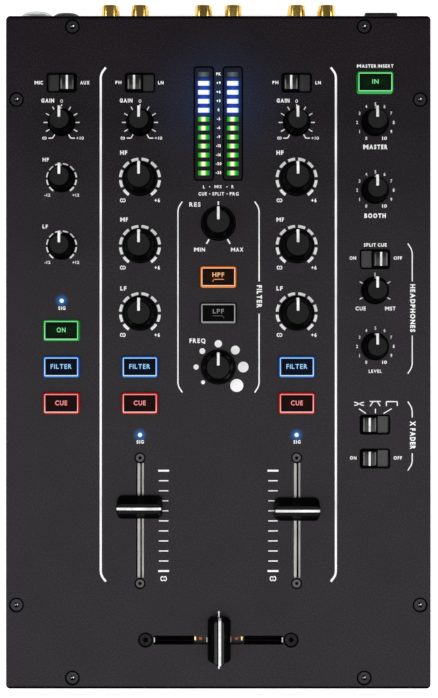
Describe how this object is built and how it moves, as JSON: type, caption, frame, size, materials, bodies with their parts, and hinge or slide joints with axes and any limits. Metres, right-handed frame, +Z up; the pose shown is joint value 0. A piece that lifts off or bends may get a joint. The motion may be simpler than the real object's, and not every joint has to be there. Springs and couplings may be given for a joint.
{
  "type": "dj mixer",
  "caption": "Tabletop DJ mixer: a black metal case whose top carries turning knobs, lit push buttons, slide switches, level meters, channel faders and a crossfader.",
  "frame": {"origin": "on the surface the feet stand on, under the middle of the mixer's overall box", "axes": "+X to the user's right, +Y to the rear with the sockets, +Z up"},
  "size_m": [0.202, 0.3312, 0.0872],
  "materials": {
    "panel_coat": "fine black powder coat",
    "case_coat": "black powder coat",
    "dark_steel": "dark plated steel",
    "bright_steel": "polished steel",
    "rubber": "matt rubber",
    "circuit_board": "solder mask",
    "brass_standoff": "turned",
    "switch_plastic": "moulded",
    "meter_plastic": "moulded",
    "blue_lens": "lit lens",
    "green_lens": "lit lens",
    "gold_plate": "gold plated",
    "jack_plastic": "moulded",
    "knob_plastic": "satin moulded",
    "green_button": "lit lens",
    "blue_button": "lit lens",
    "red_button": "lit lens",
    "orange_button": "lit lens",
    "clear_button": "unlit lens",
    "lever_plastic": "moulded",
    "cap_plastic": "satin moulded",
    "carriage_plastic": "moulded"
  },
  "bodies": {
    "chassis": {"top_panel": "panel_coat", "chassis_tray": "case_coat", "rear_panel": "case_coat", "panel_screws": "dark_steel", "case_screws": "dark_steel", "fader_screws": "dark_steel", "rubber_feet": "rubber", "control_board": "circuit_board", "jack_board": "circuit_board", "board_pillars": "brass_standoff", "fader_frames": "bright_steel", "fader_rails": "bright_steel", "potentiometers": "bright_steel", "potentiometer_nuts": "bright_steel", "switch_bodies": "switch_plastic", "meter_housings": "meter_plastic", "blue_lights": "blue_lens", "green_lights": "green_lens", "phono_sockets": "gold_plate", "jack_sockets": "jack_plastic", "power_inlet": "jack_plastic"},
    "mic_gain": {"mic_gain_knob": "knob_plastic"},
    "mic_high": {"mic_high_knob": "knob_plastic"},
    "mic_low": {"mic_low_knob": "knob_plastic"},
    "left_gain": {"left_gain_knob": "knob_plastic"},
    "left_high": {"left_high_knob": "knob_plastic"},
    "left_mid": {"left_mid_knob": "knob_plastic"},
    "left_low": {"left_low_knob": "knob_plastic"},
    "right_gain": {"right_gain_knob": "knob_plastic"},
    "right_high": {"right_high_knob": "knob_plastic"},
    "right_mid": {"right_mid_knob": "knob_plastic"},
    "right_low": {"right_low_knob": "knob_plastic"},
    "resonance": {"resonance_knob": "knob_plastic"},
    "frequency": {"frequency_knob": "knob_plastic"},
    "master": {"master_knob": "knob_plastic"},
    "booth": {"booth_knob": "knob_plastic"},
    "cue_mix": {"cue_mix_knob": "knob_plastic"},
    "phones_level": {"phones_level_knob": "knob_plastic"},
    "insert_button": {"insert_button": "green_button"},
    "mic_on_button": {"mic_on_button": "green_button"},
    "mic_filter_button": {"mic_filter_button": "blue_button"},
    "mic_cue_button": {"mic_cue_button": "red_button"},
    "left_filter_button": {"left_filter_button": "blue_button"},
    "left_cue_button": {"left_cue_button": "red_button"},
    "right_filter_button": {"right_filter_button": "blue_button"},
    "right_cue_button": {"right_cue_button": "red_button"},
    "high_pass_button": {"high_pass_button": "orange_button"},
    "low_pass_button": {"low_pass_button": "clear_button"},
    "mic_input_lever": {"mic_input_lever": "lever_plastic"},
    "left_input_lever": {"left_input_lever": "lever_plastic"},
    "right_input_lever": {"right_input_lever": "lever_plastic"},
    "split_cue_lever": {"split_cue_lever": "lever_plastic"},
    "curve_lever": {"curve_lever": "lever_plastic"},
    "crossfader_enable_lever": {"crossfader_enable_lever": "lever_plastic"},
    "left_fader": {"left_fader_cap": "cap_plastic", "left_fader_carriage": "carriage_plastic"},
    "right_fader": {"right_fader_cap": "cap_plastic", "right_fader_carriage": "carriage_plastic"},
    "crossfader": {"crossfader_cap": "cap_plastic", "crossfader_carriage": "carriage_plastic"}
  },
  "joints": [
    {"name": "mic_gain_turn", "type": "hinge", "parent": "chassis", "child": "mic_gain", "pos_m": [-0.0745, 0.10525, 0.0708], "axis": [0, 0, 1], "range_deg": [-150, 150]},
    {"name": "mic_high_turn", "type": "hinge", "parent": "chassis", "child": "mic_high", "pos_m": [-0.0745, 0.07855, 0.0708], "axis": [0, 0, 1], "range_deg": [-150, 150]},
    {"name": "mic_low_turn", "type": "hinge", "parent": "chassis", "child": "mic_low", "pos_m": [-0.0745, 0.04655, 0.0708], "axis": [0, 0, 1], "range_deg": [-150, 150]},
    {"name": "left_gain_turn", "type": "hinge", "parent": "chassis", "child": "left_gain", "pos_m": [-0.03725, 0.10525, 0.0708], "axis": [0, 0, 1], "range_deg": [-150, 150]},
    {"name": "left_high_turn", "type": "hinge", "parent": "chassis", "child": "left_high", "pos_m": [-0.03725, 0.07855, 0.0708], "axis": [0, 0, 1], "range_deg": [-150, 150]},
    {"name": "left_mid_turn", "type": "hinge", "parent": "chassis", "child": "left_mid", "pos_m": [-0.03725, 0.04655, 0.0708], "axis": [0, 0, 1], "range_deg": [-150, 150]},
    {"name": "left_low_turn", "type": "hinge", "parent": "chassis", "child": "left_low", "pos_m": [-0.03725, 0.01455, 0.0708], "axis": [0, 0, 1], "range_deg": [-150, 150]},
    {"name": "right_gain_turn", "type": "hinge", "parent": "chassis", "child": "right_gain", "pos_m": [0.03725, 0.10525, 0.0708], "axis": [0, 0, 1], "range_deg": [-150, 150]},
    {"name": "right_high_turn", "type": "hinge", "parent": "chassis", "child": "right_high", "pos_m": [0.03725, 0.07855, 0.0708], "axis": [0, 0, 1], "range_deg": [-150, 150]},
    {"name": "right_mid_turn", "type": "hinge", "parent": "chassis", "child": "right_mid", "pos_m": [0.03725, 0.04655, 0.0708], "axis": [0, 0, 1], "range_deg": [-150, 150]},
    {"name": "right_low_turn", "type": "hinge", "parent": "chassis", "child": "right_low", "pos_m": [0.03725, 0.01455, 0.0708], "axis": [0, 0, 1], "range_deg": [-150, 150]},
    {"name": "resonance_turn", "type": "hinge", "parent": "chassis", "child": "resonance", "pos_m": [0, 0.05725, 0.0708], "axis": [0, 0, 1], "range_deg": [-150, 150]},
    {"name": "frequency_turn", "type": "hinge", "parent": "chassis", "child": "frequency", "pos_m": [0, -0.01105, 0.0708], "axis": [0, 0, 1], "range_deg": [-150, 150]},
    {"name": "master_turn", "type": "hinge", "parent": "chassis", "child": "master", "pos_m": [0.0745, 0.10525, 0.0708], "axis": [0, 0, 1], "range_deg": [-150, 150]},
    {"name": "booth_turn", "type": "hinge", "parent": "chassis", "child": "booth", "pos_m": [0.0745, 0.07305, 0.0708], "axis": [0, 0, 1], "range_deg": [-150, 150]},
    {"name": "cue_mix_turn", "type": "hinge", "parent": "chassis", "child": "cue_mix", "pos_m": [0.0745, 0.02535, 0.0708], "axis": [0, 0, 1], "range_deg": [-150, 150]},
    {"name": "phones_level_turn", "type": "hinge", "parent": "chassis", "child": "phones_level", "pos_m": [0.0745, -0.00125, 0.0708], "axis": [0, 0, 1], "range_deg": [-150, 150]},
    {"name": "insert_button_press", "type": "slide", "parent": "chassis", "child": "insert_button", "axis": [0, 0, -1], "range_m": [0, 0.0012], "stiffness_N_per_m": 400, "springref_m": -0.001},
    {"name": "mic_on_button_press", "type": "slide", "parent": "chassis", "child": "mic_on_button", "axis": [0, 0, -1], "range_m": [0, 0.0012], "stiffness_N_per_m": 400, "springref_m": -0.001},
    {"name": "mic_filter_button_press", "type": "slide", "parent": "chassis", "child": "mic_filter_button", "axis": [0, 0, -1], "range_m": [0, 0.0012], "stiffness_N_per_m": 400, "springref_m": -0.001},
    {"name": "mic_cue_button_press", "type": "slide", "parent": "chassis", "child": "mic_cue_button", "axis": [0, 0, -1], "range_m": [0, 0.0012], "stiffness_N_per_m": 400, "springref_m": -0.001},
    {"name": "left_filter_button_press", "type": "slide", "parent": "chassis", "child": "left_filter_button", "axis": [0, 0, -1], "range_m": [0, 0.0012], "stiffness_N_per_m": 400, "springref_m": -0.001},
    {"name": "left_cue_button_press", "type": "slide", "parent": "chassis", "child": "left_cue_button", "axis": [0, 0, -1], "range_m": [0, 0.0012], "stiffness_N_per_m": 400, "springref_m": -0.001},
    {"name": "right_filter_button_press", "type": "slide", "parent": "chassis", "child": "right_filter_button", "axis": [0, 0, -1], "range_m": [0, 0.0012], "stiffness_N_per_m": 400, "springref_m": -0.001},
    {"name": "right_cue_button_press", "type": "slide", "parent": "chassis", "child": "right_cue_button", "axis": [0, 0, -1], "range_m": [0, 0.0012], "stiffness_N_per_m": 400, "springref_m": -0.001},
    {"name": "high_pass_button_press", "type": "slide", "parent": "chassis", "child": "high_pass_button", "axis": [0, 0, -1], "range_m": [0, 0.0012], "stiffness_N_per_m": 400, "springref_m": -0.001},
    {"name": "low_pass_button_press", "type": "slide", "parent": "chassis", "child": "low_pass_button", "axis": [0, 0, -1], "range_m": [0, 0.0012], "stiffness_N_per_m": 400, "springref_m": -0.001},
    {"name": "mic_input_lever_slide", "type": "slide", "parent": "chassis", "child": "mic_input_lever", "axis": [-1, 0, 0], "range_m": [0, 0.0054]},
    {"name": "left_input_lever_slide", "type": "slide", "parent": "chassis", "child": "left_input_lever", "axis": [1, 0, 0], "range_m": [0, 0.0054]},
    {"name": "right_input_lever_slide", "type": "slide", "parent": "chassis", "child": "right_input_lever", "axis": [1, 0, 0], "range_m": [0, 0.0054]},
    {"name": "split_cue_lever_slide", "type": "slide", "parent": "chassis", "child": "split_cue_lever", "axis": [-1, 0, 0], "range_m": [0, 0.0054]},
    {"name": "curve_lever_slide", "type": "slide", "parent": "chassis", "child": "curve_lever", "axis": [1, 0, 0], "range_m": [0, 0.0054]},
    {"name": "crossfader_enable_lever_slide", "type": "slide", "parent": "chassis", "child": "crossfader_enable_lever", "axis": [1, 0, 0], "range_m": [0, 0.0054]},
    {"name": "left_fader_slide", "type": "slide", "parent": "chassis", "child": "left_fader", "axis": [0, 1, 0], "range_m": [-0.0292, 0.0158]},
    {"name": "right_fader_slide", "type": "slide", "parent": "chassis", "child": "right_fader", "axis": [0, 1, 0], "range_m": [-0.0282, 0.0168]},
    {"name": "crossfader_slide", "type": "slide", "parent": "chassis", "child": "crossfader", "axis": [1, 0, 0], "range_m": [-0.0229, 0.0221]}
  ]
}
